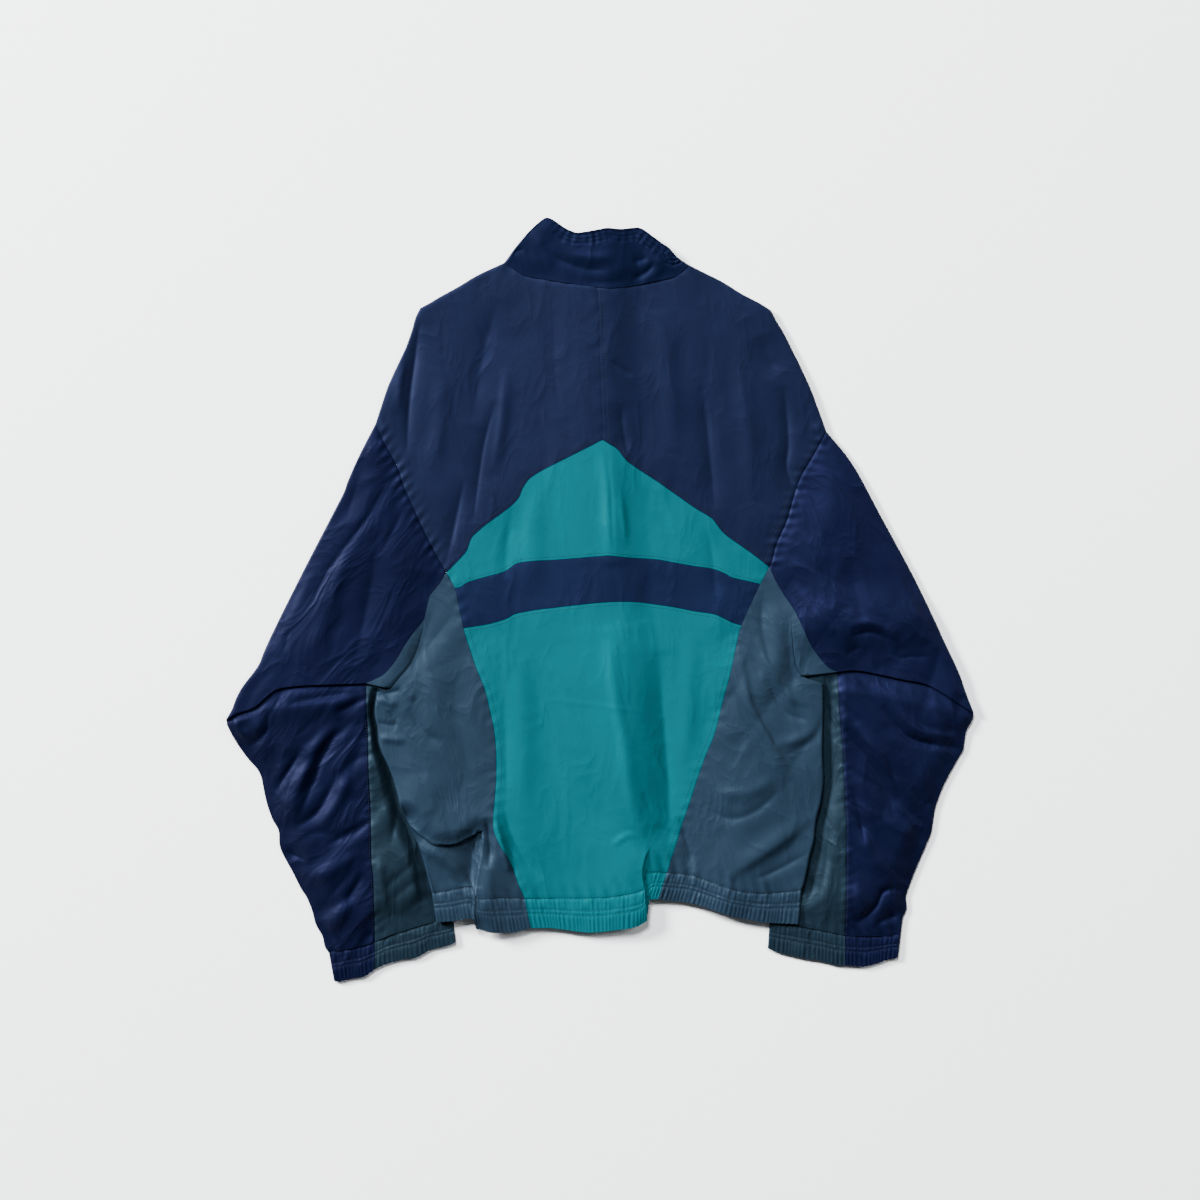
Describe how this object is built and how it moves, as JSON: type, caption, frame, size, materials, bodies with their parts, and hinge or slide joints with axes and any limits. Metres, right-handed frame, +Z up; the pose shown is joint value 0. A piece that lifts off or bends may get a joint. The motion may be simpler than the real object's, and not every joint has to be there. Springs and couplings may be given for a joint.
{
  "type": "track jacket",
  "caption": "Nylon track jacket with a stand collar, colour-blocked back and elastic hem and cuffs, laid flat back up with its sleeves folded in at the elbows.",
  "frame": {"origin": "on the surface that the jacket lies on, under the middle of its outline", "axes": "+Z up off the surface, +Y towards the collar, +X to the right as the jacket's back is seen from above"},
  "size_m": [0.7936, 0.8095, 0.016],
  "materials": {
    "navy_nylon": "nylon taffeta shell, satin sheen, softly creased",
    "sleeve_nylon": "nylon taffeta shell, satin sheen, softly creased",
    "teal_nylon": "nylon taffeta shell, satin sheen, softly creased",
    "slate_nylon": "nylon taffeta shell, satin sheen, softly creased",
    "zip_tape": "woven tape with moulded teeth",
    "zip_metal": "satin nickel colour"
  },
  "bodies": {
    "jacket": {"yoke_left": "navy_nylon", "yoke_right": "navy_nylon", "back_stripe": "navy_nylon", "collar": "navy_nylon", "front_left": "navy_nylon", "front_right": "navy_nylon", "hem_front_left": "navy_nylon", "hem_front_right": "navy_nylon", "sleeve_left": "sleeve_nylon", "sleeve_right": "sleeve_nylon", "cuff_left_navy": "sleeve_nylon", "cuff_right_navy": "sleeve_nylon", "back_chevron": "teal_nylon", "back_lower": "teal_nylon", "hem_back": "teal_nylon", "side_left": "slate_nylon", "side_right": "slate_nylon", "undersleeve_left": "slate_nylon", "undersleeve_right": "slate_nylon", "hem_left": "slate_nylon", "hem_right": "slate_nylon", "cuff_left_grey": "slate_nylon", "cuff_right_grey": "slate_nylon", "zip_left": "zip_tape", "zip_right": "zip_tape", "zip_slider": "zip_metal"},
    "pull_tab": {"zip_pull": "zip_metal"}
  },
  "joints": [
    {"name": "pull_swing", "type": "hinge", "parent": "jacket", "child": "pull_tab", "pos_m": [0, 0.3395, 0.0017], "axis": [1, 0, 0], "range_deg": [0, 165]}
  ]
}
